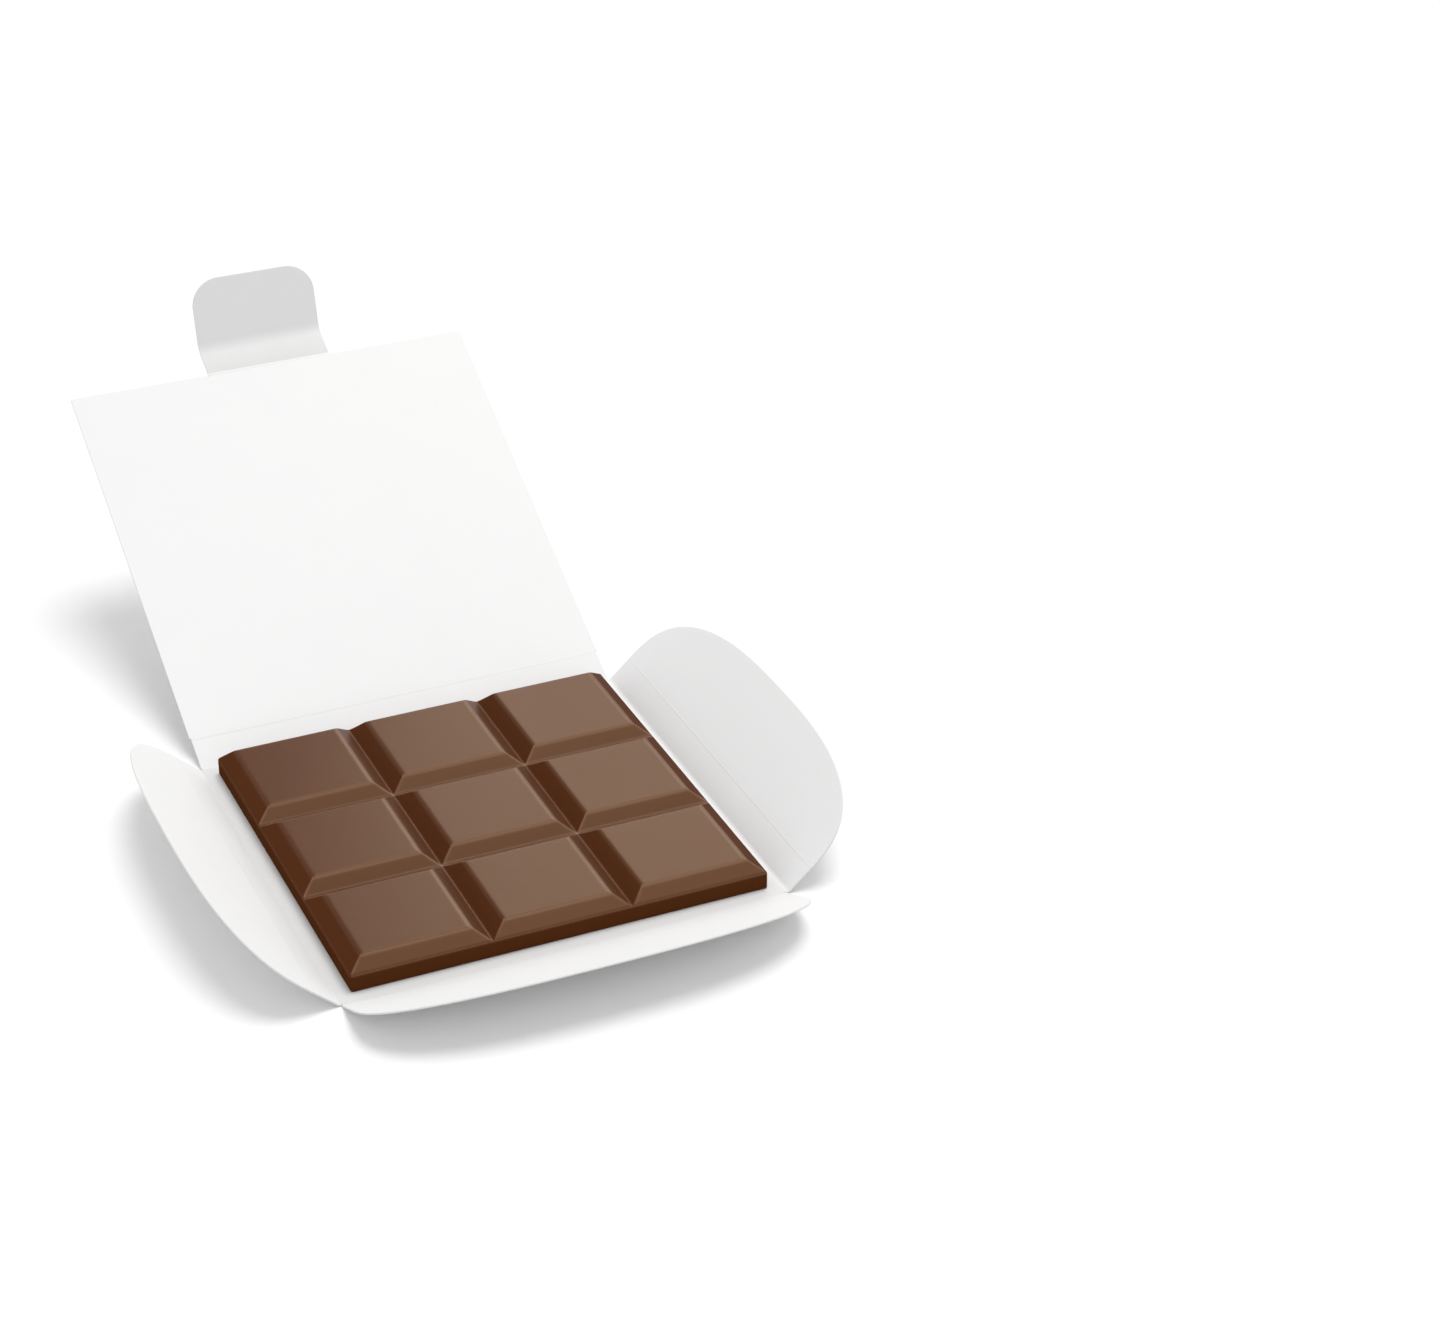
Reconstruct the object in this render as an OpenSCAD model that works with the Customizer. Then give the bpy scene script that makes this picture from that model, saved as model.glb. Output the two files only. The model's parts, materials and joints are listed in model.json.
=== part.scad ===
// Flat folding gift box for a chocolate bar, cut and creased from one sheet of board.
// The square base lies on the table, its centre at the origin. Three sides carry a low
// wall and a rounded flap that fold in over the bar. The back side carries a wall and
// the lid, and the lid's free edge carries a tab that tucks under the base.
// Every panel turns about a crease along one edge of the panel before it. The angles
// below set how far each crease is folded: 90 at all of them closes the box.

/* [Box] */
// Side of the square base, from crease to crease
box_side = 100; // [80:1:160]
// Thickness of the board
board = 0.4; // [0.3:0.05:0.6]
// Air between two layers of board when the box is closed
layer_gap = 0.1; // [0.05:0.05:0.3]
// Play between a crease's round bead and the panel that turns about it
crease_play = 0.05; // [0.03:0.01:0.1]
// How far a wall stops short of the base's corners, at each end
corner_trim = 0.5; // [0.4:0.1:2]

/* [Rounded flaps] */
// Reach of the two side flaps, from the wall's top crease to the middle of the tip
side_flap_reach = 21.4; // [12:0.2:32]
// Reach of the front flap, from the wall's top crease to the middle of the tip
front_flap_reach = 21; // [12:0.2:32]
// Squareness of the flaps' outline: 2 is half an ellipse, more is fuller at the corners
flap_power = 2.7; // [2:0.1:5]
// Straight steps along each flap's curved outline
flap_steps = 40; // [16:2:64]

/* [Lid and tab] */
// How far the lid's side edges stand in from the base's side creases
lid_trim = 0.2; // [0:0.1:1]
// Width of the tab on the lid's free edge
tab_width = 31; // [20:1:50]
// Reach of the tab's tongue, from its crease to its end
tongue_reach = 17; // [10:0.5:26]
// Radius of the tongue's two free corners
tongue_corner = 7; // [2:0.5:9]

/* [Chocolate bar] */
// Space between the bar and the base's creases, on each side
bar_margin = 3.5; // [2:0.5:8]
// Height of the bar, from its flat back to the tops of its squares
bar_height = 6.3; // [4:0.1:10]
// Share of the bar's height taken by the plain band below the squares' sloped sides
band_share = 0.62; // [0.4:0.01:0.85]
// Squares along each side of the bar
squares = 3; // [2:1:5]
// Width of each square's sloped sides, seen from above
slope_width = 3.7; // [2:0.1:6]
// Width of the flat at the bottom of the grooves
groove_flat = 0.5; // [0.2:0.1:1.5]
// Radius of the squares' upper edges
edge_round = 0.9; // [0.3:0.1:2]
// Radius where the sloped sides meet the outer band
band_round = 0.6; // [0.2:0.1:1]
// Air under the loose bar
bar_rest_gap = 0.05; // [0.02:0.01:0.2]
// Air between the bar's top and the closed side flaps
bar_headroom = 0.15; // [0.1:0.05:1]

/* [Folds as shown] */
// Angle of the left and right walls above the table
side_wall_angle = 42; // [0:1:90]
// Fold between a side wall and its flap
side_flap_angle = 0; // [0:1:90]
// Angle of the front wall above the table
front_wall_angle = 26.5; // [0:0.5:90]
// Fold between the front wall and its flap
front_flap_angle = 0; // [0:1:90]
// Angle of the back wall above the table
back_wall_angle = 28; // [0:1:90]
// Fold between the back wall and the lid
lid_angle = 0; // [0:1:90]
// Fold between the lid and the tab's riser
riser_angle = 0; // [0:1:90]
// Fold between the riser and the tongue
tongue_angle = 50; // [0:1:90]

/* [Hidden] */
// A panel starts this far from the crease that it turns about
crease_clear = board / 2 + crease_play;
// One layer of board and the air above it
layer = board + layer_gap;
bar_side = box_side - 2 * bar_margin;
bar_floor = board + bar_rest_gap;
cell = bar_side / squares;
band_height = band_share * bar_height;
// Heights of the walls, from the base's mid-plane to the mid-plane that folds in from them
side_wall_height = bar_rest_gap + bar_height + bar_headroom + board;
front_wall_height = side_wall_height + layer;
back_wall_height = front_wall_height + layer;
// The riser runs from the lid's mid-plane to the tongue's, one layer under the base's
riser_height = back_wall_height + layer;
// The lid runs on past the front wall, so that the riser hangs outside it
lid_reach = box_side + layer;
wall_half = box_side / 2 - corner_trim;
lid_half = box_side / 2 - lid_trim;
tab_half = tab_width / 2;
// Straight steps in each rounded edge of the bar's profile
edge_steps = 4;

// Which way each side of the base faces, as a turn from +X
right_turn = 0;
back_turn = 90;
left_turn = 180;
front_turn = 270;

$fn = 48;

board_white = [0.95, 0.95, 0.95];
milk_brown = [0.45, 0.31, 0.24];

// Outlines

// Half of a squared ellipse, from one end of a crease round to the other
function flap_curve(half, reach, power, steps) = [
    for (i = [0 : steps])
        let(turn = 180 * i / steps)
        [reach * pow(abs(sin(turn)), 2 / power),
         sign(cos(turn)) * half * pow(abs(cos(turn)), 2 / power)]
];

// Points of an arc of radius r that rounds the corner p between the neighbours a and b
function unit(v) = v / norm(v);
function round_corner(a, p, b, r, steps) =
    let(
        u = unit(a - p),
        w = unit(b - p),
        half_angle = acos(u * w) / 2,
        centre = p + unit(u + w) * r / sin(half_angle),
        from = (p + u * r / tan(half_angle) - centre) / r,
        to = (p + w * r / tan(half_angle) - centre) / r,
        sweep = 180 - 2 * half_angle
    )
    [for (i = [0 : steps])
        centre + r * (sin(sweep * (1 - i / steps)) * from + sin(sweep * i / steps) * to)
        / sin(sweep)];

// Side view of the row of squares, from the bar's flat back up, along +X
function square_top(start) =
    let(
        low_left = [start + groove_flat / 2, band_height],
        top_left = [start + slope_width, bar_height],
        top_right = [start + cell - slope_width, bar_height],
        low_right = [start + cell - groove_flat / 2, band_height]
    )
    concat(
        [low_left],
        round_corner(low_left, top_left, top_right, edge_round, edge_steps),
        round_corner(top_left, top_right, low_right, edge_round, edge_steps),
        [low_right]
    );

// Panels, each lying along +X from its crease, which is the Y axis

module sheet(start, reach, half) {
    translate([start, -half, -board / 2])
        cube([reach - start, 2 * half, board]);
}

module crease_bead(at, half) {
    translate([at, half, 0])
        rotate([90, 0, 0])
            cylinder(d = board, h = 2 * half);
}

module wall(height, half) {
    sheet(crease_clear, height, half);
    crease_bead(height, half);
}

module rounded_flap(reach, half) {
    translate([crease_clear, 0, -board / 2])
        linear_extrude(board)
            polygon(flap_curve(half, reach - crease_clear, flap_power, flap_steps));
}

module lid_sheet() {
    sheet(crease_clear, lid_reach, lid_half);
    crease_bead(lid_reach, tab_half);
}

module tongue_sheet() {
    translate([0, 0, -board / 2])
        linear_extrude(board) {
            translate([crease_clear, -tab_half])
                square([tongue_reach - tongue_corner - crease_clear, tab_width]);
            translate([crease_clear, tongue_corner - tab_half])
                square([tongue_reach - crease_clear, tab_width - 2 * tongue_corner]);
            for (side = [-1, 1])
                translate([tongue_reach - tongue_corner, side * (tab_half - tongue_corner)])
                    circle(r = tongue_corner);
        }
}

// Where each crease lies

module at_base_crease(turn, fold) {
    rotate([0, 0, turn])
        translate([box_side / 2, 0, board / 2])
            rotate([0, -fold, 0])
                children();
}

module at_crease(distance, fold) {
    translate([distance, 0, 0])
        rotate([0, -fold, 0])
            children();
}

module side_flap(turn) {
    at_base_crease(turn, side_wall_angle)
        at_crease(side_wall_height, side_flap_angle)
            rounded_flap(side_flap_reach, wall_half);
}

module on_lid() {
    at_base_crease(back_turn, back_wall_angle)
        at_crease(back_wall_height, lid_angle)
            children();
}

module on_riser() {
    on_lid()
        at_crease(lid_reach, riser_angle)
            children();
}

// The bar

// The row of squares seen from the side, drawn out over the bar's whole width. The
// outermost slopes start at the bar's own side, with a small round above the band.
module ridge_bar() {
    low = [-bar_side / 2, band_height];
    first_top = [slope_width - bar_side / 2, bar_height];
    foot = [-bar_side / 2, 0];
    middle = [for (i = [0 : squares - 1]) each square_top(i * cell - bar_side / 2)];
    left_edge = round_corner(foot, low, first_top, band_round, edge_steps);
    right_edge = [for (i = [edge_steps : -1 : 0]) [-left_edge[i][0], left_edge[i][1]]];
    inner = [for (i = [1 : len(middle) - 2]) middle[i]];
    rotate([90, 0, 0])
        translate([0, 0, -bar_side / 2])
            linear_extrude(bar_side)
                polygon(concat([foot], left_edge, inner, right_edge, [[-foot[0], 0]]));
}

// The pieces

module base_panel() {
    color(board_white) {
        translate([-box_side / 2, -box_side / 2, 0])
            cube([box_side, box_side, board]);
        for (turn = [right_turn, left_turn, front_turn, back_turn])
            at_base_crease(turn, 0)
                crease_bead(0, wall_half);
    }
}

module left_wall() {
    color(board_white)
        at_base_crease(left_turn, side_wall_angle)
            wall(side_wall_height, wall_half);
}

module left_flap() {
    color(board_white)
        side_flap(left_turn);
}

module right_wall() {
    color(board_white)
        at_base_crease(right_turn, side_wall_angle)
            wall(side_wall_height, wall_half);
}

module right_flap() {
    color(board_white)
        side_flap(right_turn);
}

module front_wall() {
    color(board_white)
        at_base_crease(front_turn, front_wall_angle)
            wall(front_wall_height, wall_half);
}

module front_flap() {
    color(board_white)
        at_base_crease(front_turn, front_wall_angle)
            at_crease(front_wall_height, front_flap_angle)
                rounded_flap(front_flap_reach, wall_half);
}

module back_wall() {
    color(board_white)
        at_base_crease(back_turn, back_wall_angle)
            wall(back_wall_height, wall_half);
}

module lid_panel() {
    color(board_white)
        on_lid()
            lid_sheet();
}

module tab_riser() {
    color(board_white)
        on_riser()
            wall(riser_height, tab_half);
}

module tuck_tongue() {
    color(board_white)
        on_riser()
            at_crease(riser_height, tongue_angle)
                tongue_sheet();
}

module chocolate_bar() {
    color(milk_brown)
        translate([0, 0, bar_floor])
            intersection() {
                ridge_bar();
                rotate([0, 0, 90])
                    ridge_bar();
            }
}

base_panel();
left_wall();
left_flap();
right_wall();
right_flap();
front_wall();
front_flap();
back_wall();
lid_panel();
tab_riser();
tuck_tongue();
chocolate_bar();
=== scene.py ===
# %% [markdown]
# # A folding gift box and its bar of chocolate
#
# The real object is one sheet of white board, cut and creased so that it folds flat round a
# thin moulded bar. It lies open here: the base on the table, a low wall and a rounded flap
# rising from three of its sides, and the lid leaning back from the fourth with its tuck tab.
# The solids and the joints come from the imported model. This lesson dresses each panel with
# board that has a cut edge and a pressed crease, pours the bar, and lights the table.

import json
import math

import bpy
import numpy as np
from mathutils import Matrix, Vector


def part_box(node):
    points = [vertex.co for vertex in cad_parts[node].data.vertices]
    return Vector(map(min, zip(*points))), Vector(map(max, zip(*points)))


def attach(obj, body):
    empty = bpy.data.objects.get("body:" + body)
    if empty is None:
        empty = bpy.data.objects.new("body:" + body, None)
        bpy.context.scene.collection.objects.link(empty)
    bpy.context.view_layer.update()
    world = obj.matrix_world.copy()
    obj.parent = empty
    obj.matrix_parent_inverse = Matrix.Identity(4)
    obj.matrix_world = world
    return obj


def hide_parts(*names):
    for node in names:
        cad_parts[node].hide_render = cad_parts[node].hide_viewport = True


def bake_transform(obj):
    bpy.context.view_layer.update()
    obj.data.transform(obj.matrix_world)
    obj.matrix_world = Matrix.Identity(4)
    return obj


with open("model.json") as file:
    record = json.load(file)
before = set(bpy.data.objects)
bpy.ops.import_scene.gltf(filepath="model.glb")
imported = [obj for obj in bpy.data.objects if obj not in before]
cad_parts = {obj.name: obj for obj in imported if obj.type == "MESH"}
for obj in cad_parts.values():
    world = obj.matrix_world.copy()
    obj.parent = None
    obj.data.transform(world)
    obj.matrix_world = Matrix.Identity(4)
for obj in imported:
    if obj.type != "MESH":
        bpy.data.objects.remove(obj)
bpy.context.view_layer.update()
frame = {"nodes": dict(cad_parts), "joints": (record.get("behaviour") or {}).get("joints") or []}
joints = {joint["name"]: joint for joint in frame["joints"]}
MM = 0.001
print("panels and bar:", sorted(frame["nodes"]))
print("creases:", sorted(joints))

# %% [markdown]
# ## The camera
#
# The camera stands low and to the left of the box's front, with a short telephoto lens, so
# that the square base shows as a leaning diamond. Its turn, height and distance are given as
# angles round a point on the table, because that is how a photographer would set it up.

# %% Stand the camera at the photographer's place
VIEW_TURN = math.radians(-24.25)
VIEW_HEIGHT = math.radians(29.67)
VIEW_DISTANCE = 0.7747
VIEW_TARGET = np.array([0.0772, 0.0465, 0.0])
LENS_MM = 81.18
SENSOR_MM = 36

view_back = np.array(
    [
        math.sin(VIEW_TURN) * math.cos(VIEW_HEIGHT),
        -math.cos(VIEW_TURN) * math.cos(VIEW_HEIGHT),
        math.sin(VIEW_HEIGHT),
    ]
)
camera = bpy.data.objects.new("camera", bpy.data.cameras.new("camera"))
bpy.context.scene.collection.objects.link(camera)
camera.location = VIEW_TARGET + view_back * VIEW_DISTANCE
camera.rotation_euler = (math.pi / 2 - VIEW_HEIGHT, 0, VIEW_TURN)
camera.data.sensor_width = SENSOR_MM
camera.data.lens = LENS_MM
bpy.context.scene.camera = camera
print("camera at", [round(c, 4) for c in camera.location])

# %% [markdown]
# ## Writing materials as sums
#
# Board and chocolate are both plain at arm's length and busy close up, so each finish is a
# few layers of noise added together. Wiring those by hand hides the idea, so one small class
# wraps a socket and lets noise be added, taken away and scaled with +, - and *. A finish then
# reads like the sum that it is.


# %% A socket that can be added
class Field:
    """A number that varies over a surface, held as a node socket."""

    def __init__(self, tree, socket):
        self.tree = tree
        self.socket = socket

    def maths(self, operation, *values):
        """A Math node with this operation on the given numbers and fields."""
        node = self.tree.nodes.new("ShaderNodeMath")
        node.operation = operation
        for place, value in enumerate(values):
            if isinstance(value, Field):
                self.tree.links.new(value.socket, node.inputs[place])
            else:
                node.inputs[place].default_value = value
        return Field(self.tree, node.outputs[0])

    def __add__(self, other):
        return self.maths("ADD", self, other)

    __radd__ = __add__

    def __sub__(self, other):
        return self.maths("SUBTRACT", self, other)

    def __rsub__(self, other):
        return self.maths("SUBTRACT", other, self)

    def __mul__(self, other):
        return self.maths("MULTIPLY", self, other)

    __rmul__ = __mul__

    def clamped(self):
        """The field held between 0 and 1."""
        return self.maths("MINIMUM", self.maths("MAXIMUM", self, 0.0), 1.0)


# %% [markdown]
# A second class holds a material while it is written. Its one method for nodes makes any kind
# of them and hands back a socket, and the helpers below it are the few nodes that board,
# chocolate and paper all need. Every noise reads the object's own coordinates, so the pattern
# moves with the piece.


# %% A material that hands out nodes
class Finish:
    """A tree of shader nodes being written, with one method for any node."""

    def __init__(self, tree):
        self.tree = tree
        self.tree.nodes.clear()
        self.place = self.node("ShaderNodeTexCoord", output="Object")

    def node(self, kind, settings=None, sockets=None, output=0):
        """Adds a node: its settings first, then its sockets' values or links."""
        node = self.tree.nodes.new(kind)
        for key, value in (settings or {}).items():
            setattr(node, key, value)
        for key, value in (sockets or {}).items():
            if isinstance(value, Field):
                self.tree.links.new(value.socket, node.inputs[key])
            else:
                node.inputs[key].default_value = value
        return Field(self.tree, node.outputs[output]) if len(node.outputs) else None

    def noise(self, size, detail=2.0, roughness=0.5, stretch=(1, 1, 1)):
        """Noise from 0 to 1, whose blotches are about size metres across."""
        scale = [share / size for share in stretch]
        spot = self.node("ShaderNodeMapping", sockets={"Vector": self.place, "Scale": scale})
        sockets = {"Vector": spot, "Scale": 1.0, "Detail": detail, "Roughness": roughness}
        return self.node("ShaderNodeTexNoise", sockets=sockets)

    def painted(self, name):
        """A field that the piece's own mesh carries."""
        return self.node("ShaderNodeAttribute", {"attribute_name": name}, output="Fac")

    def blend_colours(self, factor, low, high):
        """The colour low where the factor is 0, and high where it is 1."""
        sockets = {0: factor, 6: low, 7: high}
        return self.node("ShaderNodeMix", {"data_type": "RGBA"}, sockets, output=2)

    def bumped(self, height, depth):
        """A surface normal for a height field whose full range is depth metres."""
        return self.node("ShaderNodeBump", sockets={"Height": height, "Distance": depth})

    def end(self, kind, shader):
        """Links the finished shader to the tree's output."""
        self.node(kind, sockets={"Surface": shader})


def new_finish(name):
    """An empty material and the writer of its nodes."""
    material = bpy.data.materials.new(name)
    material.use_nodes = True
    return material, Finish(material.node_tree)


# %% [markdown]
# ## White folding board
#
# Such boxes are cut from bleached board with a thin coat of clay. It is white with the
# faintest clouding where fibres lie thicker, it has a soft sheen and a shallow tooth, and its
# cut edge shows the uncoated core, a shade warmer and rougher. A pressed crease cracks the
# coat a little, which reads as a slightly greyer line. A painted shade darkens the colour to
# a greyer white on the base's front and left strips, the creases beside them, and the tab's
# riser and curl.

# %% Mix the board's finish
BOARD_FACE = (0.9, 0.9, 0.898, 1)
BOARD_CLOUD = (0.88, 0.881, 0.883, 1)
BOARD_CORE = (0.82, 0.81, 0.79, 1)
BOARD_CRACK = (0.82, 0.82, 0.815, 1)
# A darker grey painted into the board's colour as shade: on the base's front and left strips,
# the creases beside them, and the tab's riser and curl.
BOARD_PAINTED_SHADE = (0.73, 0.73, 0.728, 1)
CLOUD_SIZE, FLECK_SIZE = 9 * MM, 1.1 * MM
FIBRE_SIZE, TOOTH_SIZE = 0.35 * MM, 0.12 * MM
FIBRE_STRETCH = (1, 0.35, 1)
FIBRE_DEPTH = 0.012 * MM
BOARD_ROUGHNESS, BOARD_IOR, BOARD_SHINE = 0.5, 1.48, 0.12

board_white, board = new_finish("white_board")
clouding = board.noise(CLOUD_SIZE, detail=3) * 0.6 + board.noise(FLECK_SIZE) * 0.4
fibres = board.noise(FIBRE_SIZE, detail=3, roughness=0.6, stretch=FIBRE_STRETCH)
tooth = board.noise(TOOTH_SIZE)
cut_edge = (board.painted("cut") * (0.75 + fibres * 0.5)).clamped()
crack = (board.painted("crease") * (0.35 + fibres * 0.6)).clamped()
face = board.blend_colours(clouding, BOARD_FACE, BOARD_CLOUD)
creased = board.blend_colours(crack, face, BOARD_CRACK)
# Painted shade: the colour darkens towards that grey where the mesh's painted field for shade is
# high.
painted_shade = (board.painted("painted_shade") * (0.8 + clouding * 0.4)).clamped()
colour_with_painted_shade = board.blend_colours(painted_shade, creased, BOARD_PAINTED_SHADE)
uneven = clouding * 0.08 + cut_edge * 0.3 + crack * 0.1
board_sockets = {
    "Base Color": board.blend_colours(cut_edge, colour_with_painted_shade, BOARD_CORE),
    "Roughness": (BOARD_ROUGHNESS + uneven).clamped(),
    "IOR": BOARD_IOR,
    "Specular IOR Level": BOARD_SHINE,
    "Normal": board.bumped(fibres * 0.6 + tooth * 0.4, FIBRE_DEPTH),
}
board_skin = board.node("ShaderNodeBsdfPrincipled", sockets=board_sockets)
board.end("ShaderNodeOutputMaterial", board_skin)
print("board finish has", len(board.tree.nodes), "nodes")

# %% [markdown]
# ## Milk chocolate
#
# A bar leaves its mould with a satin skin that copies the mould's polish. The skin is a warm
# brown with faint cloudy streaks. A painted highlight, a paler brown, is laid into its colour
# along the upper edges and down the mitres: most on the edges that face right, less at the
# front and back, none on the left. The mesh carries how much painted highlight each spot has.
# Cocoa butter is warm itself, so a straight look into the skin sees a warm mirror image. The
# low band round the bar is dull: it was scraped along the mould's wall as the bar dropped out.
# The slopes that face left were dragged along the mould too as it was tipped, so they are
# nearly as dull, and so is the outermost slope on the right. The other slopes that face right
# are hardly dulled.

# %% Mix the chocolate's finish
CHOCOLATE = (0.077, 0.0228, 0.007, 1)
CHOCOLATE_CLOUD = (0.088, 0.028, 0.009, 1)
# A paler brown painted into the colour as a highlight along the edges and mitres.
CHOCOLATE_PAINTED_HIGHLIGHT = (0.26, 0.15, 0.095, 1)
BUTTER_TINT = (1.0, 0.76, 0.49, 1)
STREAK_SIZE, GRAIN_SIZE, WAVE_SIZE = 14 * MM, 0.5 * MM, 6 * MM
STREAK_STRETCH = (1, 0.6, 1)
SKIN_DEPTH = 0.03 * MM
SATIN_ROUGHNESS, DULL_ROUGHNESS = 0.3, 0.6
BAR_IOR, SATIN_SHINE, DULL_SHINE = 1.47, 0.17, 0.0

milk_chocolate, bar = new_finish("milk_chocolate")
streaks = bar.noise(STREAK_SIZE, detail=3, stretch=STREAK_STRETCH)
grain = bar.noise(GRAIN_SIZE, detail=3, roughness=0.6)
waves = bar.noise(WAVE_SIZE, detail=1)
# Painted highlight: the colour turns paler where the mesh's edge field is high.
painted_highlight = (bar.painted("edge") * (0.3 + grain * 0.6)).clamped()
milk = bar.blend_colours(streaks * 0.75 + grain * 0.25, CHOCOLATE, CHOCOLATE_CLOUD)
bar_sockets = {
    "Base Color": bar.blend_colours(painted_highlight, milk, CHOCOLATE_PAINTED_HIGHLIGHT),
    "Roughness": (SATIN_ROUGHNESS + streaks * 0.06 + grain * 0.05).clamped(),
    "IOR": BAR_IOR,
    "Specular IOR Level": SATIN_SHINE,
    "Specular Tint": BUTTER_TINT,
    "Normal": bar.bumped(waves * 0.8 + grain * 0.2, SKIN_DEPTH),
}
satin = bar.node("ShaderNodeBsdfPrincipled", sockets=bar_sockets)
scuffed = {"Roughness": DULL_ROUGHNESS + grain * 0.1, "Specular IOR Level": DULL_SHINE}
dull = bar.node("ShaderNodeBsdfPrincipled", sockets=bar_sockets | scuffed)
scraped = bar.painted("scraped").clamped()
bar_skin = bar.node("ShaderNodeMixShader", sockets={0: scraped, 1: satin, 2: dull})
bar.end("ShaderNodeOutputMaterial", bar_skin)
print("chocolate finish has", len(bar.tree.nodes), "nodes")

# %% [markdown]
# ## Rings into meshes
#
# Every piece of board is a stack of closed rings: a sheet's rings run from the middle of its
# face out to the rim and back under, and a crease's rings are slices along its length. Stacking
# rings needs one function for both, and it closes both ends, so no hole is left. A flat end is
# a fan round a point. A bent slice has no such point, so its end is a ladder instead.

# %% Stack rings into a closed mesh
SHARP_ANGLE = math.radians(35)


def ring_faces(rings, count, fans):
    """Faces of a stack of rings with count points each, closed at both ends.

    Ring k starts at index k * count. Each face joins neighbours in a ring to the same
    neighbours in the next one. An end is a fan round one of the two points that come last,
    or, without fans, a ladder whose rungs join point i to point count - 1 - i.
    """
    here = np.arange(count)
    after = np.roll(here, -1)
    starts = np.arange(rings - 1)[:, None] * count
    corners = [starts + here, starts + count + here, starts + count + after, starts + after]
    quads = np.stack(corners, axis=-1).reshape(-1, 4)
    if fans:
        opening = np.stack([np.full(count, rings * count), here, after], axis=-1)
        closing = np.stack([np.full(count, rings * count + 1), after, here], axis=-1)
        closing[:, 1:] += starts[-1] + count
    else:
        rung = np.arange(count // 2 - 1)
        opening = np.stack([rung, rung + 1, count - 2 - rung, count - 1 - rung], axis=-1)
        closing = opening[:, ::-1] + starts[-1] + count
    return quads.tolist() + opening.tolist() + closing.tolist()


def make_piece(name, points, faces, finish, paint):
    """A named, smooth-shaded mesh with its finish and its painted fields."""
    mesh = bpy.data.meshes.new(name)
    mesh.from_pydata(points.tolist(), [], faces)
    for field, values in paint.items():
        layer = mesh.attributes.new(field, "FLOAT", "POINT")
        layer.data.foreach_set("value", values.astype(np.float32))
    mesh.shade_smooth()
    mesh.set_sharp_from_angle(angle=SHARP_ANGLE)
    mesh.materials.append(finish)
    piece = bpy.data.objects.new(name, mesh)
    bpy.context.scene.collection.objects.link(piece)
    size = np.ptp(points, axis=0) / MM
    print(f"{name}: {len(mesh.polygons)} faces, {size.round(1)} mm")
    return piece


def make_board(name, rings, ends, cut, crease, painted_shade):
    """A piece of board from its rings (k, count, 3) and its two end points, or none.

    cut and crease are painted fields, and the last one is painted shade that darkens the
    colour; each has a value for each point of the rings.
    The end points take the mean of the first and the last ring.
    """
    points = np.concatenate([rings.reshape(-1, 3), ends])
    paint = {"cut": cut, "crease": crease, "painted_shade": painted_shade}
    for key, field in paint.items():
        paint[key] = np.append(field, field[[0, -1]].mean(axis=1)[: len(ends)])
    faces = ring_faces(*rings.shape[:2], fans=len(ends) > 0)
    return make_piece(name, points, faces, board_white, paint)


# %% [markdown]
# ## Where each panel lies
#
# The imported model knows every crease: its place and its direction. A panel's own axes follow
# from them. One axis runs away from the crease, one along it, and the third points to the
# inside of the box. With those three, a flat drawing of a panel lands where the panel is.


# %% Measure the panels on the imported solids
def solid_points(node):
    """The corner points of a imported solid, each once, as an array."""
    vertices = frame["nodes"][node].data.vertices
    points = np.empty(len(vertices) * 3)
    vertices.foreach_get("co", points)
    return np.unique(points.reshape(-1, 3).round(7), axis=0)


class Panel:
    """A panel's crease, its three axes and its size.

    A point (u, w, z) of the panel lies at crease + u * along + w * side + z * inside, where
    inside is along x side.
    """

    def __init__(self, node, crease, next_crease=None):
        self.node = node
        self.body = joints[crease]["child"]
        self.crease = np.array(joints[crease]["pos_m"])
        self.side = -np.array(joints[crease]["axis"], float)
        points = solid_points(node) - self.crease
        run = points.mean(axis=0)
        run -= run @ self.side * self.side
        self.along = run / np.linalg.norm(run)
        self.inside = np.cross(self.along, self.side)
        self.half = abs(points @ self.side).max()
        self.board = np.ptp(points @ self.inside)
        self.reach = (points @ self.along).max()
        if next_crease:
            step = np.array(joints[next_crease]["pos_m"]) - self.crease
            self.reach = step @ self.along
        rise = math.degrees(math.asin(self.along[2]))
        sizes = [round(size / MM, 2) for size in (self.reach, self.half, self.board)]
        print(f"{node}: reach, half width and board {sizes} mm, rises {rise:.1f} degrees")

    def placed(self, flat):
        """Points (..., 3) of the panel's own u, w and z, set where the panel is."""
        return self.crease + flat @ np.stack([self.along, self.side, self.inside])


left_wall = Panel("left_wall", "left_wall_crease", "left_flap_crease")
left_flap = Panel("left_flap", "left_flap_crease")
right_wall = Panel("right_wall", "right_wall_crease", "right_flap_crease")
right_flap = Panel("right_flap", "right_flap_crease")
front_wall = Panel("front_wall", "front_wall_crease", "front_flap_crease")
front_flap = Panel("front_flap", "front_flap_crease")
back_wall = Panel("back_wall", "back_wall_crease", "lid_crease")
lid = Panel("lid_panel", "lid_crease", "tab_riser_crease")
riser = Panel("tab_riser", "tab_riser_crease", "tongue_crease")
tongue = Panel("tuck_tongue", "tongue_crease")
BOARD = left_flap.board

# %% [markdown]
# ## A flat sheet with a cut rim
#
# A die cuts board with a rule that rolls the rim over a little, so the edge catches a fine
# line of light. A sheet could be a plain box with a bevel, but the flaps are curved, so the
# sheet is made as rings that shrink from its outline: an arc of rings rolls over the rim, and
# one more ring just inside keeps the flat face flat. Where a sheet meets a crease the rim
# stays square, so that the two pieces join without a groove.

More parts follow.
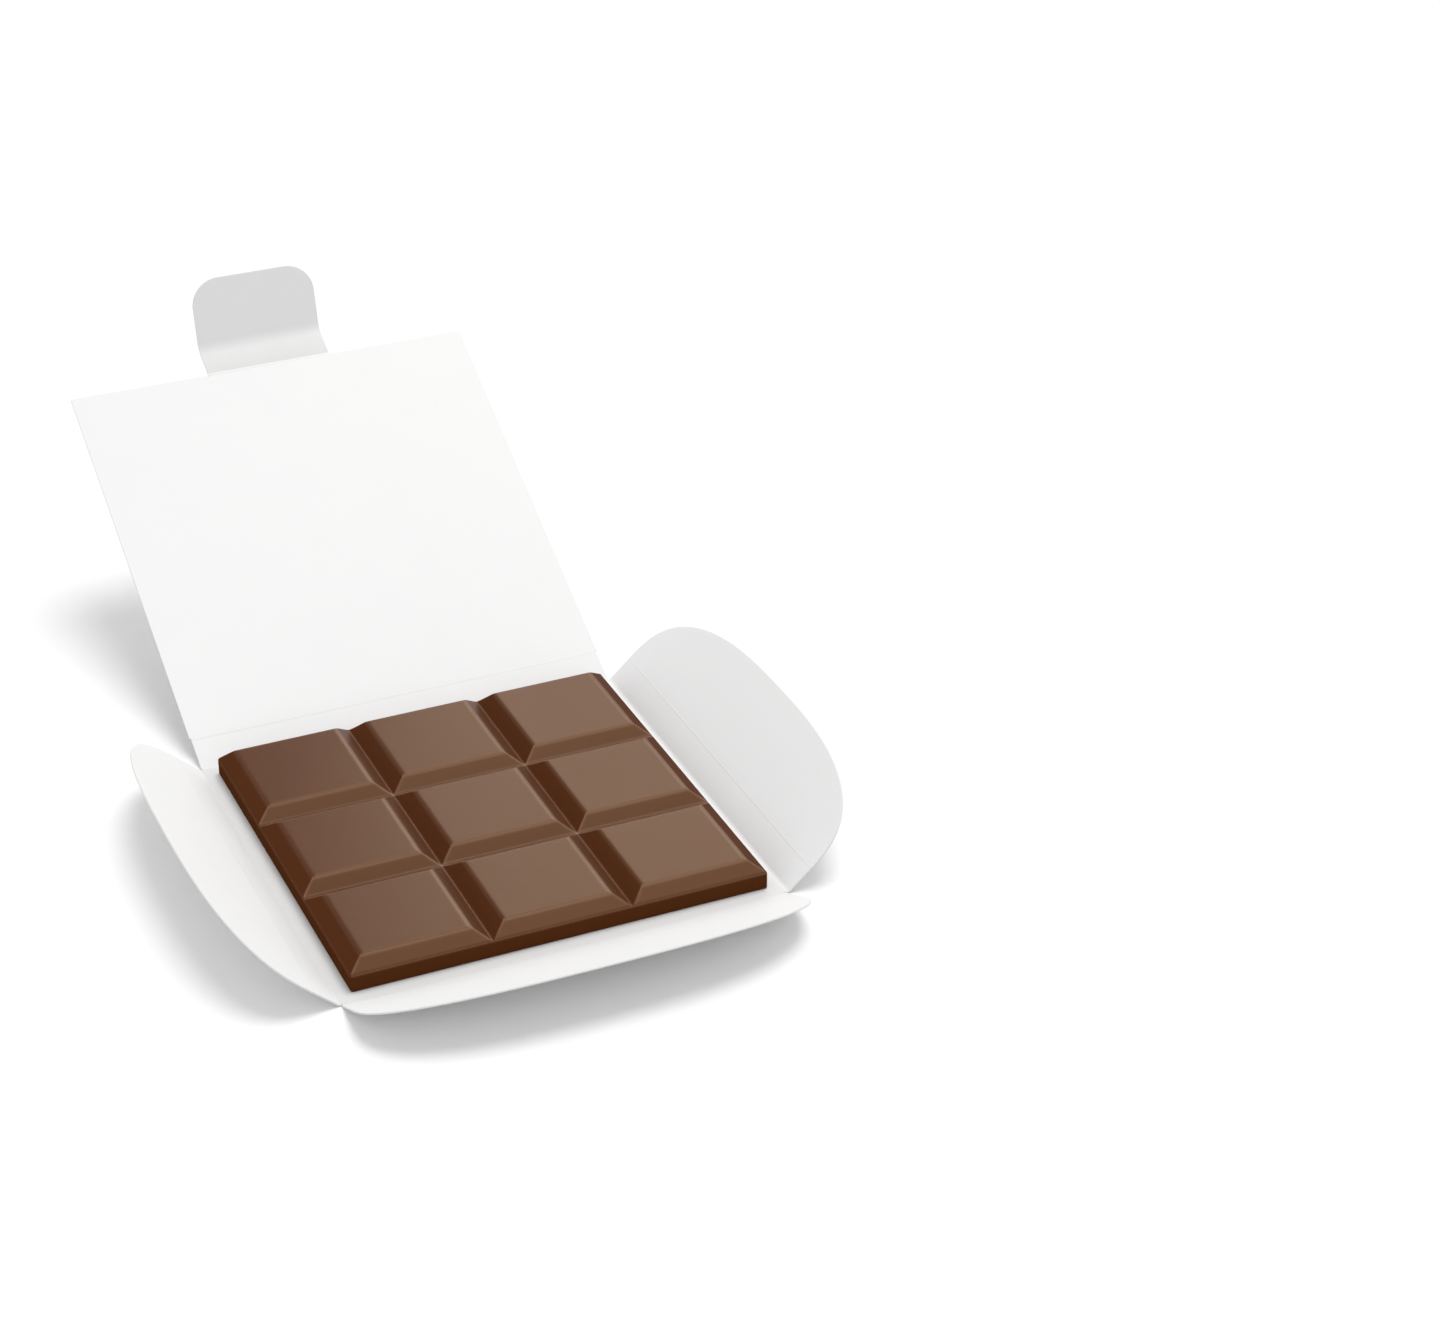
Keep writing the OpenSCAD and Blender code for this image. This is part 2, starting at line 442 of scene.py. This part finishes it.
# %% Roll a sheet from its outline
RIM = 0.09 * MM
FACE_MARGIN = 0.29 * MM
RIM_TURNS = np.radians([0, 30, 60, 90])
MIDDLE_SHARE = 0.5
SQUARE_SHARE = 0.25
LIP_CUT = 0.15


def inward(outline):
    """For each corner, the step that moves both of its edges inwards by one unit.

    It is the sum of the two edges' inward normals over one plus their dot product.
    """
    edges = np.roll(outline, -1, axis=0) - outline
    edges /= np.linalg.norm(edges, axis=1, keepdims=True)
    normals = np.stack([-edges[:, 1], edges[:, 0]], axis=1)
    before = np.roll(normals, 1, axis=0)
    overlap = (normals * before).sum(axis=1, keepdims=True)
    return (normals + before) / (1 + overlap)


def sheet_rings(outline, free):
    """Rings of a sheet, from the middle of its inner face round the rim to the outer face.

    outline is the sheet's edge, anticlockwise from the inside, and free is 1 where the edge
    is cut and 0 where it meets a crease. On a cut edge, ring k is inset by
    RIM * (1 - sin(turn)) and stands RIM * (1 - cos(turn)) below the face. Each row also says
    how much of the cut's colour it shows, and only a little of it at the lip of the face.
    """
    half = BOARD / 2
    step = inward(outline)
    middle = (outline.max(axis=0) + outline.min(axis=0)) / 2
    square = np.linspace(half, half * SQUARE_SHARE, len(RIM_TURNS))
    flat = np.full(len(outline), half)
    rows = [(middle + (outline - middle) * MIDDLE_SHARE, flat, 0.0)]
    rows.append((outline + step * FACE_MARGIN, flat, 0.0))
    for turn, level in zip(RIM_TURNS, square):
        inset = RIM * (1 - np.sin(turn)) * free
        height = (half - RIM * (1 - np.cos(turn))) * free + level * (1 - free)
        rows.append((outline + step * inset[:, None], height, 1.0 if turn > 0 else LIP_CUT))
    rows += [(place, -height, share) for place, height, share in reversed(rows)]
    rings = np.stack([np.column_stack([place, height]) for place, height, _ in rows])
    cut = np.stack([share * free for _, _, share in rows])
    ends = np.array([[*middle, half], [*middle, -half]])
    return rings, ends, cut


def make_sheet(panel, outline, free, painted_shade=0.0):
    """A panel's sheet of board: its outline in u and w, set where the panel is.

    The last argument is how much painted shade darkens the board, as one number or as a
    function of u and w.
    """
    rings, ends, cut = sheet_rings(outline, free)
    name = f"{panel.node}_board"
    share = painted_shade(rings[..., 0], rings[..., 1]) if callable(painted_shade) else painted_shade
    places = panel.placed(rings), panel.placed(ends)
    piece = make_board(name, *places, cut, cut * 0, cut * 0 + share)
    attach(piece, panel.body)
    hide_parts(panel.node)


# %% [markdown]
# ## A pressed crease
#
# A creasing rule presses a groove into the board's outer side, and the board stands up in a
# bead on the inner side. When the panel is folded, the board goes round this line in a small
# arc. So each crease is its own narrow strip: its middle line is an arc that leaves one panel
# and enters the next along their own directions.

# %% Bend a strip of board between two panels
CREASE_HALF = 0.5 * MM
BEAD_HEIGHT = 0.03 * MM
GROOVE_DEPTH = 0.04 * MM
BEAD_WIDTH = 0.16
ACROSS_STEPS = 17
LEAST_FOLD = 0.01


def arc_strip(share, height, fold, half):
    """Points of a strip bent through the angle fold, in the first panel's u and z.

    share runs from 0 to 1 along the bend. The middle line is an arc of radius
    half / tan(fold / 2), tangent to both panels half away from the crease's axis. Without a
    fold the strip is straight, because that radius would be endless.
    """
    if fold < LEAST_FOLD:
        return (2 * share - 1) * half + 0 * height, height + 0 * share
    radius = half / math.tan(fold / 2)
    reach = radius - height
    return reach * np.sin(fold * share) - half, radius - reach * np.cos(fold * share)


def make_crease(name, before, panel, half_width, half=CREASE_HALF, bead=1.0, painted_shade=(0, 0)):
    """The strip of board that joins a panel to the one before it.

    before is (body, along, inside) of that one. Each slice is a loop: the outer side from
    one panel to the next, and the inner side back. The bead is a bell curve across the strip,
    and the last argument is how much painted shade darkens the board at both of its sides.
    """
    body, along, inside = before
    fold = math.acos(min(1.0, along @ panel.along))
    share = np.linspace(0, 1, ACROSS_STEPS)
    bell = np.exp(-(((share - 0.5) / BEAD_WIDTH) ** 2)) * bead
    outer = GROOVE_DEPTH * bell - BOARD / 2
    inner = BOARD / 2 + BEAD_HEIGHT * bell
    loop_share = np.concatenate([share, share[::-1]])
    loop_height = np.concatenate([outer, inner[::-1]])
    rolled = half_width - RIM * (1 - np.sin(RIM_TURNS))
    squeeze = 1 - RIM * (1 - np.cos(RIM_TURNS)) / (BOARD / 2)
    places = np.concatenate([-rolled, rolled[::-1]])
    thins = np.concatenate([squeeze, squeeze[::-1]])[:, None]
    places, thins = places[np.argsort(places)], thins[np.argsort(places)]
    u, z = arc_strip(loop_share, thins * loop_height, fold, half)
    w = np.broadcast_to(places[:, None], u.shape)
    axes = np.stack([along, panel.side, inside])
    rings = panel.crease + np.stack([u, w, z], axis=-1) @ axes
    cut = np.broadcast_to(1.0 * (thins < 1), u.shape)
    crease = np.broadcast_to(np.concatenate([bell, bell[::-1]]), u.shape)
    painted_shade_share = np.broadcast_to(painted_shade[0] + (painted_shade[1] - painted_shade[0]) * loop_share, u.shape)
    piece = make_board(name, rings, np.empty((0, 3)), cut, crease, painted_shade_share)
    start = panel.crease - half * along
    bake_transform(piece)


# %% [markdown]
# ## The base
#
# The base is a plain square whose four sides are all creases, so its sheet stops half a
# millimetre short of each, where the crease strips take over. Only its corners are cut free,
# and the die leaves them a little blunt. Its front and left strips carry a painted shade, a
# darker grey laid into their colour beside the bar.

# %% Cut the base
BLUNT = 0.4 * MM
# How strong the painted shade is in the base's front and left strips.
FRONT_PAINTED_SHADE = 0.8
LEFT_PAINTED_SHADE = 0.9
STRIP_FROM = 0.85
STOP_SHARES = np.array([-1, -0.8, 0.8, 1])

base_half = abs(left_wall.crease[0]) - CREASE_HALF
bend = base_half - BLUNT
blunt = bend + BLUNT * math.cos(math.pi / 4)


class Base:
    """The base's own place: its middle is the origin, and its inside is upwards."""

    node, body = "base_panel", "base"
    crease = np.array([0, 0, BOARD / 2])
    along, side, inside = np.eye(3)
    placed = Panel.placed


def base_painted_shade(u, w):
    """Painted shade over the base: only in the strips at its front and at its left."""
    left = np.where(u < -STRIP_FROM * base_half, LEFT_PAINTED_SHADE, 0.0)
    return np.where(w < -STRIP_FROM * base_half, FRONT_PAINTED_SHADE, left)


creased_side = np.column_stack([np.full(len(STOP_SHARES), base_half), bend * STOP_SHARES])
quarter = np.append(creased_side, [[blunt, blunt]], axis=0)
quarter_free = np.append(np.zeros(len(STOP_SHARES)), 1.0)
turns = [np.array([[c, s], [-s, c]]) for c, s in ((1, 0), (0, 1), (-1, 0), (0, -1))]
base_outline = np.concatenate([quarter @ turn for turn in turns])
make_sheet(Base(), base_outline, np.tile(quarter_free, len(turns)), base_painted_shade)

# %% [markdown]
# ## The low walls
#
# Each wall is a long rectangle between two creases. Its ends are cut, and stop just short of
# the base's corners, so that neighbouring walls can stand side by side.

# %% Cut the walls and fold them to the base
CUT_FADE = 0.5 * MM


def mirrored(u, w, free):
    """An outline from its half with w above 0: the mirrored half first, then the half back."""
    outline = np.concatenate([np.column_stack([u, -w]), np.column_stack([u, w])[::-1]])
    return outline, np.concatenate([free, free[::-1]])


def strip_outline(start, stop, half):
    """A rectangle between two creases: its ends are cut, and the cut fades at each crease."""
    u = np.array([start, start + CUT_FADE, stop - CUT_FADE, stop])
    return mirrored(u, np.full(len(u), half), np.array([0.0, 1.0, 1.0, 0.0]))


for panel in (left_wall, right_wall, front_wall, back_wall):
    make_sheet(panel, *strip_outline(CREASE_HALF, panel.reach - CREASE_HALF, panel.half))
    level = panel.along * [1, 1, 0]
    level /= np.linalg.norm(level)
    before = ("base", level, Base.inside)
    # The crease strip carries the base's painted shade on its base side, fading to none at the
    # wall.
    painted_shade = (base_painted_shade(*panel.crease[:2]), 0.0)
    make_crease(f"{panel.node}_crease", before, panel, panel.half, painted_shade=painted_shade)

# %% [markdown]
# ## The rounded flaps
#
# The flaps' outline is fuller than half an ellipse: it leaves the crease almost at a right
# angle and is nearly flat at the tip. A squared ellipse does this with one number, the power
# in |w / half| ^ power + |u / reach| ^ power = 1, where 2 would be a plain ellipse.

# %% Cut the flaps
FLAP_POWER = 2.7
FLAP_STEPS = 60
FLAP_START = 0.25 * MM


def flap_outline(reach, half):
    """A squared ellipse beyond the crease: u and w are powers of a sine and a cosine."""
    turn = np.linspace(0, np.pi / 2, FLAP_STEPS)[1:-1]
    u = FLAP_START + (reach - FLAP_START) * np.sin(turn) ** (2 / FLAP_POWER)
    w = half * np.cos(turn) ** (2 / FLAP_POWER)
    clear = u > CREASE_HALF + CUT_FADE
    u, w = np.append(CREASE_HALF, u[clear]), np.append(half, w[clear])
    return mirrored(u, w, (np.arange(len(u)) > 0) * 1.0)


for wall, flap in ((left_wall, left_flap), (right_wall, right_flap), (front_wall, front_flap)):
    make_sheet(flap, *flap_outline(flap.reach, flap.half))
    before = (wall.body, wall.along, wall.inside)
    make_crease(f"{flap.node}_crease", before, flap, flap.half)

# %% [markdown]
# ## The lid
#
# The lid is the base's twin, a little longer, so that its tab hangs clear of the front wall.
# Its free edge is cut except where the tab's crease runs, and its corners are hardly rounded.

# %% Cut the lid
LID_CORNER = 0.5 * MM
LID_CORNER_STEPS = 7
NOTCH_SLANT = 0.25 * MM


def corner(reach, half, radius, steps):
    """A quarter circle from a sheet's side round to its far edge, as u and w."""
    turn = np.linspace(0, np.pi / 2, steps)
    return reach - radius * (1 - np.sin(turn)), half - radius * (1 - np.cos(turn))


u, w = corner(lid.reach, lid.half, LID_CORNER, LID_CORNER_STEPS)
u = np.concatenate([[CREASE_HALF, CREASE_HALF + CUT_FADE], u, [lid.reach]])
w = np.concatenate([[lid.half, lid.half], w, [riser.half + NOTCH_SLANT]])
u, w = np.append(u, lid.reach - CREASE_HALF), np.append(w, riser.half)
free = np.ones(len(u))
free[[0, -1]] = 0
make_sheet(lid, *mirrored(u, w, free))
before = (back_wall.body, back_wall.along, back_wall.inside)
make_crease("lid_panel_crease", before, lid, back_wall.half)

# %% [markdown]
# ## The tuck tab
#
# The tab is a riser as tall as the closed box and a tongue with rounded corners. Board that
# has been tucked in once keeps a soft curl, so the line between the two is no sharp crease:
# it is a bend a few millimetres long, with no bead, which catches a band of light. The riser
# has the most painted shade, a darker grey laid into its colour, and the painted shade fades
# along the curl. The curl is as long as it can be without rubbing the base's front crease in
# the closed box.

# %% Cut the riser and the tongue
CURL_HALF = 1.7 * MM
TONGUE_CORNER = 7.0 * MM
TONGUE_CORNER_STEPS = 25
# The painted shade left where the riser meets the curl.
CURL_PAINTED_SHADE = 0.55


def riser_painted_shade(u, w):
    """Painted shade along the riser: full at its crease, falling in a straight line to the curl.
    """
    return 1 - (1 - CURL_PAINTED_SHADE) * u / (riser.reach - CURL_HALF)


outline = strip_outline(CREASE_HALF, riser.reach - CURL_HALF, riser.half)
make_sheet(riser, *outline, riser_painted_shade)
before = (lid.body, lid.along, lid.inside)
make_crease("tab_riser_crease_strip", before, riser, riser.half)

u, w = corner(tongue.reach, tongue.half, TONGUE_CORNER, TONGUE_CORNER_STEPS)
u = np.concatenate([[CURL_HALF, CURL_HALF + CUT_FADE], u])
w = np.concatenate([[tongue.half, tongue.half], w])
make_sheet(tongue, *mirrored(u, w, (np.arange(len(u)) > 0) * 1.0))
before = (riser.body, riser.along, riser.inside)
# The curl's painted shade, fading from the riser's level to none at the tongue.
painted_shade = (CURL_PAINTED_SHADE, 0.0)
make_crease("tab_curl", before, tongue, tongue.half, half=CURL_HALF, bead=0.0, painted_shade=painted_shade)

# %% [markdown]
# ## The moulded bar's wave
#
# The bar is three rows of three squares with sloped sides, on a plain band. Seen from one
# side, a row is a wave of flat tops and grooves, and the bar's surface is the lower of two
# such waves, one along X and one along Y: where they are equal, the slopes meet in a mitre.
# Plain minima make knife edges, so every corner of the wave, and the mitres, are rounded by
# the same trick: a straight ramp averaged over a short length.

# %% Shape the wave
SQUARES = 3
BAND_SHARE = 0.62
SLOPE = 3.7 * MM
GROOVE_HALF = 0.25 * MM
TOP_ROUND = 0.75 * MM
GROOVE_ROUND = 0.35 * MM
MITRE_ROUND = 0.16 * MM
MITRE_WIDTH = 0.3 * MM

bar_low, bar_high = (np.array(c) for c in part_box("chocolate_bar"))
bar_half = (bar_high[0] - bar_low[0]) / 2
bar_cell = 2 * bar_half / SQUARES
bar_foot, bar_top = bar_low[2], bar_high[2]
band_top = bar_foot + BAND_SHARE * (bar_top - bar_foot)
slope_rise = (bar_top - band_top) / SLOPE


def eased(x, width):
    """The larger of x and 0, averaged over a window from x - width to x + width."""
    inner = (x + width) ** 2 / (4 * width)
    return np.where(x <= -width, 0.0, np.where(x >= width, x, inner))


def wave(x):
    """Height of the squares above the band, how sharp the surface is there, and d.

    d is the distance to the nearest groove's middle or outer side. The height is a ramp
    from the groove's flat, or from the outer side, up to the top, with its ends eased. The
    sharpness is 1 at the top's edge and falls to 0 as a parabola.
    """
    cell = np.clip(np.floor((x + bar_half) / bar_cell), 0, SQUARES - 1)
    left = x + bar_half - cell * bar_cell
    d = np.minimum(left, bar_cell - left)
    outer = abs(x) > bar_half - bar_cell / 2
    foot = np.where(outer, np.maximum(d, 0.0), eased(d - GROOVE_HALF, GROOVE_ROUND))
    run = np.where(outer, SLOPE, SLOPE - GROOVE_HALF)
    height = (bar_top - band_top) / run * (foot - eased(d - SLOPE, TOP_ROUND))
    sharp = np.maximum(0.0, 1 - ((d - SLOPE) / TOP_ROUND) ** 2)
    return height, sharp, d


middle_height = wave(np.zeros(1))[0].max()
print("wave rises", round(middle_height / MM, 3), "mm above the band")

# %% [markdown]
# ## Pouring the bar
#
# The top could be nine blocks with sloped sides, but a poured bar has no seams between them.
# So it is one grid, whose lines crowd together on the slopes. The same lines then serve the
# grooves, the edges and the mitres, which run from corner to corner of the grid.

# %% Place the grid's lines
BAND_ROUND = 0.4 * MM
SLOPE_STOPS = MM * np.array(
    [0, 0.13, 0.26, 0.4, 0.55, 0.75, 1.0, 1.35, 1.7, 2.05, 2.4, 2.7, 2.95, 3.15, 3.32, 3.47]
    + [3.6, 3.7, 3.82, 3.97, 4.15, 4.4, 4.8]
)
TOP_STEPS = 6
SAME_PLACE = 1e-6


def bar_stations():
    """Places along the bar, from a square's slope over its top and down again, for each.

    Places closer than SAME_PLACE are one, and the first and the last stop BAND_ROUND short
    of the bar's sides.
    """
    top = np.linspace(SLOPE_STOPS[-1], bar_cell - SLOPE_STOPS[-1], TOP_STEPS + 1)[1:-1]
    square = np.concatenate([SLOPE_STOPS, top, bar_cell - SLOPE_STOPS[::-1]])
    starts = np.arange(SQUARES)[:, None] * bar_cell - bar_half
    places = np.sort((starts + square).reshape(-1))
    places = places[np.append(True, np.diff(places) > SAME_PLACE)]
    end = bar_half - BAND_ROUND
    inset = abs(places) < end - SAME_PLACE
    return np.concatenate([[-end], places[inset], [end]])


stations = bar_stations()
count = len(stations)
grid_x, grid_y = np.meshgrid(stations, stations, indexing="ij")
print("bar grid has", count, "lines each way")

# %% [markdown]
# The grid rises by the lower of the two waves, and then its lines move in plan. Those near
# the back are pushed towards it, because the bar's back slope is steeper than the others, and
# the grooves show as notches there. Those at the corners bend round, as the mould's do.

# %% Raise the squares
PLAN_ROUND = 0.6 * MM
BACK_SLOPE = 2.1 * MM
TINY = 1e-12


def rounded_plan(x, y):
    """Bends the grid's square corners into quarter circles.

    Beyond the corner's centre, a point moves in until its distance from it equals the larger
    of its two offsets. TINY keeps the division safe where both offsets are 0.
    """
    core = bar_half - PLAN_ROUND
    dx, dy = np.maximum(abs(x) - core, 0), np.maximum(abs(y) - core, 0)
    scale = np.maximum(dx, dy) / np.maximum(np.hypot(dx, dy), TINY)
    bent_x = np.where(dx > 0, np.sign(x) * (core + dx * scale), x)
    bent_y = np.where(dy > 0, np.sign(y) * (core + dy * scale), y)
    return bent_x, bent_y


def back_knots(slope):
    """Places along Y: the front side, the last square's middle, its edge and the back side."""
    return bar_half - np.array([2 * bar_half, bar_cell / 2, slope, BAND_ROUND])


(height_x, sharp_x, d_x), (height_y, sharp_y, d_y) = wave(grid_x), wave(grid_y)
height = height_x - eased(height_x - height_y, MITRE_ROUND)
pushed_y = np.interp(grid_y, back_knots(SLOPE), back_knots(BACK_SLOPE))
flat_x, flat_y = rounded_plan(grid_x, pushed_y)
top = np.stack([flat_x, flat_y, band_top + height], axis=-1).reshape(-1, 3)
print("squares reach", (top[:, 2].max() / MM).round(2), "mm above the table")

# %% [markdown]
# Two painted fields tell the finish where the skin has painted highlight and where it is
# dull, both from 0 to 1. The painted highlight follows the squares' upper edges, by an amount
# for each side, and runs down the mitres. The dulling fills the slopes that face left and
# right and fades at their ends.

# %% Mark the painted highlights and the dull slopes
PAINTED_HIGHLIGHT = {"left": 0.0, "right": 0.65, "front": 0.3, "back": 0.2}
DULL = {"left": 0.85, "right": 0.12, "outside right": 0.75}
TOP_FADE = 0.25 * MM
SLOPE_FADE = 0.25 * MM

# The painted highlight: the squares' upper edges, by side, and the mitres.
mitre = np.maximum(0.0, 1 - abs(d_x - d_y) / MITRE_WIDTH) * (d_x < SLOPE)
late_x, late_y = (np.mod(g + bar_half, bar_cell) > bar_cell / 2 for g in (grid_x, grid_y))
highlight_x = sharp_x * np.where(late_x, PAINTED_HIGHLIGHT["right"], PAINTED_HIGHLIGHT["left"])
highlight_y = sharp_y * np.where(late_y, PAINTED_HIGHLIGHT["back"], PAINTED_HIGHLIGHT["front"])
edge = np.maximum(np.where(height_x < height_y, highlight_x, highlight_y), mitre)
sideways = np.clip((height_y - height_x) / SLOPE_FADE, 0, 1)
flank = np.clip((bar_top - band_top - TOP_FADE - height_x) / SLOPE_FADE, 0, 1)
dulled = np.where(late_x, DULL["right"], DULL["left"])
dulled = np.where(grid_x > bar_half - SLOPE, DULL["outside right"], dulled)
dulled = dulled * sideways * flank
# The share printed is of the grid's points that carry painted highlight.
print("highlight_painted over", round(100 * edge.mean()), "percent of the grid's points")

# %% [markdown]
# The grid's border is carried outwards and down in rings for the band. Its upper edge is a
# curve of three control points: on the slope, at the corner that the slope and the side
# would make, and on the side. Then the rings turn in under the foot by a quarter circle, and
# one more, a margin further in, keeps the underside flat.

# %% Carry the border down round the band
FOOT_ROUND = 0.3 * MM
FOOT_MARGIN = 0.25 * MM
BAND_STEPS = 7
FOOT_TURNS = np.radians([[0], [22.5], [45], [67.5], [90]])

number = np.arange(count * count).reshape(count, count)
sides = [number[:-1, 0], number[-1, :-1], number[:0:-1, -1], number[0, :0:-1]]
border = np.concatenate(sides)
rim = top[border]
core = np.clip(rim[:, :2], PLAN_ROUND - bar_half, bar_half - PLAN_ROUND)
out = (rim[:, :2] - core) / np.linalg.norm(rim[:, :2] - core, axis=1, keepdims=True)

lean = BAND_ROUND * math.hypot(1, slope_rise)
share = np.linspace(0, 1, BAND_STEPS)[1:, None]
bend_out = BAND_ROUND * (2 * share * (1 - share) + share**2) + 0 * rim[:, 2]
bend_z = (1 - share) ** 2 * rim[:, 2] + 2 * share * (1 - share) * band_top
bend_z = bend_z + share**2 * (band_top - lean)
foot_out = BAND_ROUND - FOOT_ROUND * (1 - np.cos(FOOT_TURNS)) + 0 * rim[:, 2]
foot_z = bar_foot + FOOT_ROUND * (1 - np.sin(FOOT_TURNS)) + 0 * rim[:, 2]
ring_out = np.concatenate([bend_out, foot_out, foot_out[-1:] - FOOT_MARGIN])
ring_z = np.concatenate([bend_z, foot_z, foot_z[-1:]])
ring_plan = rim[:, :2] + ring_out[..., None] * out
rings = np.concatenate([ring_plan, ring_z[..., None]], axis=-1)
print("band has", len(rings), "rings of", len(border), "points")

# %% [markdown]
# The grid's own faces come first. Each square is split along whichever of its diagonals has
# the more painted highlight, so that a highlighted mitre is one unbroken line. Then the band's
# rings hang from the border, and the last ring closes to a point in the middle of the bar's
# underside. The band's upper edge has painted highlight as well, least on the left, and the
# band itself is all dull.

# %% Sew the bar together
# How much painted highlight the band's upper edge has, and how much of it goes on the left.
BAND_PAINTED_HIGHLIGHT = 0.6
LEFT_HIGHLIGHT_CUT = 0.75

here, right = number[:-1, :-1], number[1:, :-1]
above, across = number[:-1, 1:], number[1:, 1:]
rising = edge[:-1, :-1] + edge[1:, 1:] >= edge[1:, :-1] + edge[:-1, 1:]
lower = np.stack([here, right, np.where(rising, across, above)], axis=-1)
upper = np.stack([np.where(rising, here, right), across, above], axis=-1)
faces = np.concatenate([lower, upper]).reshape(-1, 3).tolist()
hung = count**2 + np.arange(ring_z.size).reshape(ring_z.shape)
loops = np.concatenate([border[None], hung])
following = np.roll(loops, -1, axis=1)
band = np.stack([loops[:-1], loops[1:], following[1:], following[:-1]], axis=-1)
faces += band.reshape(-1, 4).tolist()
last = np.full(len(border), count**2 + ring_z.size)
faces += np.stack([last, following[-1], loops[-1]], axis=-1).tolist()
points = np.concatenate([top, rings.reshape(-1, 3), [[0, 0, bar_foot]]])

# Painted highlight on the band's upper edge, cut down where the band faces left.
band_highlight_share = 1 - LEFT_HIGHLIGHT_CUT * np.maximum(0, -out[:, 0])
band_highlight = np.concatenate([1 - abs(2 * share - 1), 0 * FOOT_TURNS, [[0]]]) + 0 * ring_z
band_highlight = band_highlight * BAND_PAINTED_HIGHLIGHT * band_highlight_share
scrape = np.concatenate([share, 1 + 0 * FOOT_TURNS, [[1]]]) + 0 * ring_z
scrape = np.maximum(scrape, dulled.reshape(-1)[border])
paint = {
    "edge": np.concatenate([edge.reshape(-1), band_highlight.reshape(-1), [0]]),
    "scraped": np.concatenate([dulled.reshape(-1), scrape.reshape(-1), [1]]),
}
poured = make_piece("poured_bar", points, faces, milk_chocolate, paint)
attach(poured, "bar")
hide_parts("chocolate_bar")

# %% [markdown]
# ## The table
#
# The table is one wide sheet of white paper, so that nothing competes with the box. The camera
# and mirror images see it as pure white. For all other light it is a little darker, as real
# paper is, so that the panels above it aren't lit too strongly from below.

# %% Lay the table
TABLE_SIDE = 12.0
TABLE_DROP = 0.05 * MM
PAPER_SEEN = (1.0, 1.0, 1.0, 1)
PAPER_LIT = (0.78, 0.78, 0.78, 1)
GRIT_SIZE = 3 * MM
GRIT_ROUGHNESS = 0.015

table_paper, paper = new_finish("table_paper")
seen = paper.node("ShaderNodeLightPath", output="Is Camera Ray")
glossy = paper.node("ShaderNodeLightPath", output="Is Glossy Ray")
through = paper.node("ShaderNodeLightPath", output="Is Transmission Ray")
shown = (seen + glossy + through).clamped()
grit = paper.noise(GRIT_SIZE, detail=3) * GRIT_ROUGHNESS
paper_colour = paper.blend_colours(shown, PAPER_LIT, PAPER_SEEN)
paper_sockets = {"Color": paper_colour, "Roughness": grit}
sheet_of_paper = paper.node("ShaderNodeBsdfDiffuse", sockets=paper_sockets)
paper.end("ShaderNodeOutputMaterial", sheet_of_paper)

table_mesh = bpy.data.meshes.new("table")
half_side = TABLE_SIDE / 2
around = ((-1, -1), (1, -1), (1, 1), (-1, 1))
table_corners = [(x * half_side, y * half_side, -TABLE_DROP) for x, y in around]
table_mesh.from_pydata(table_corners, [], [(0, 1, 2, 3)])
table_mesh.materials.append(table_paper)
table = bpy.data.objects.new("table", table_mesh)
bpy.context.scene.collection.objects.link(table)
print("table is", TABLE_SIDE, "m square")

# %% [markdown]
# ## The light
#
# The room is an even white that gives most of the light, so shade gathers only where panels
# lean close over the table. A soft lamp hangs a little to the right of overhead: it gives each
# panel its own grey by how far it leans away. Two panels of light are there for the bar's
# satin skin alone. One stands low behind the box on the right, where the flat tops mirror it,
# and the other hangs above, where the slopes that face the camera mirror it.

# %% Light the room and hang the lamps
ROOM_LIGHT = 0.69
LAMP_STRENGTH = 1.27
LAMP_WIDTH = math.radians(30)
LAMP_TOWARDS = np.array([0.24, 0.09, 1.0])
PANEL_SIDE = 0.25
PANEL_AIM = np.array([0.02, -0.02, 0.007])
PANELS = {
    "back_panel": (0.87, (1.0, 0.9, 0.76), (0.16, 0.221, 0.231)),
    "top_panel": (0.86, (1.0, 0.91, 0.88), (0.12, -0.04, 0.34)),
}

world = bpy.data.worlds.new("room")
world.use_nodes = True
bpy.context.scene.world = world
bpy.context.scene.view_settings.view_transform = "Standard"
room = Finish(world.node_tree)
white_room = {"Color": (1, 1, 1, 1), "Strength": ROOM_LIGHT}
room.end("ShaderNodeOutputWorld", room.node("ShaderNodeBackground", sockets=white_room))


def hang_lamp(name, kind, place, towards, **settings):
    """A lamp at a place, whose light falls away from the direction towards.

    A lamp shines along its own -Z, so it tips by the angle between Z and the direction, and
    then turns until it faces away from it.
    """
    lamp = bpy.data.objects.new(name, bpy.data.lights.new(name, kind))
    bpy.context.scene.collection.objects.link(lamp)
    for key, value in settings.items():
        setattr(lamp.data, key, value)
    tip = math.atan2(math.hypot(towards[0], towards[1]), towards[2])
    lamp.rotation_euler = (tip, 0, math.atan2(towards[0], -towards[1]))
    lamp.location = place
    print(name, "stands", round(math.degrees(tip), 1), "degrees from overhead")
    return lamp


settings = {"energy": LAMP_STRENGTH, "angle": LAMP_WIDTH}
hang_lamp("overhead_lamp", "SUN", (0, 0, 1), LAMP_TOWARDS, **settings)
for name, (power, colour, place) in PANELS.items():
    settings = {"energy": power, "size": PANEL_SIDE, "color": colour}
    panel_lamp = hang_lamp(name, "AREA", place, np.array(place) - PANEL_AIM, **settings)
    panel_lamp.visible_camera = False
    panel_lamp.visible_diffuse = False
